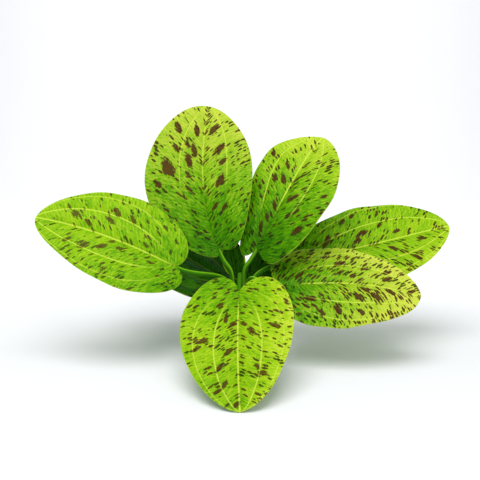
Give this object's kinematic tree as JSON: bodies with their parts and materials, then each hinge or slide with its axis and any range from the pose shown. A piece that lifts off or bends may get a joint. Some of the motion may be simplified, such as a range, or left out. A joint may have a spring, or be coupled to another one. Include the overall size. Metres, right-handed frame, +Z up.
{
  "type": "rosette aquarium plant",
  "caption": "Rosette aquarium plant with broad oval bright green leaves, brown-spotted and veined, on slender stalks from a short crown cut flat at ground level.",
  "frame": {"origin": "middle of the flat cut under the crown, at ground level", "axes": "+Z up, +X towards the plant's right as the picture shows it, -Y towards the viewer, where the heart-shaped leaf hangs to the ground"},
  "size_m": [0.2976, 0.1894, 0.1731],
  "materials": {
    "leaf_green": "smooth living leaf, satin, with dark brown spots",
    "crown_brown": "matt rootstock with old sheath scars"
  },
  "bodies": {
    "root": {"crown": "crown_brown", "leaf_back_left": "leaf_green", "leaf_back_right": "leaf_green", "leaf_left": "leaf_green", "leaf_right_upper": "leaf_green", "leaf_right_lower": "leaf_green", "leaf_front": "leaf_green", "leaf_behind_left": "leaf_green", "young_leaf_left": "leaf_green", "young_leaf_right": "leaf_green"}
  },
  "joints": []
}
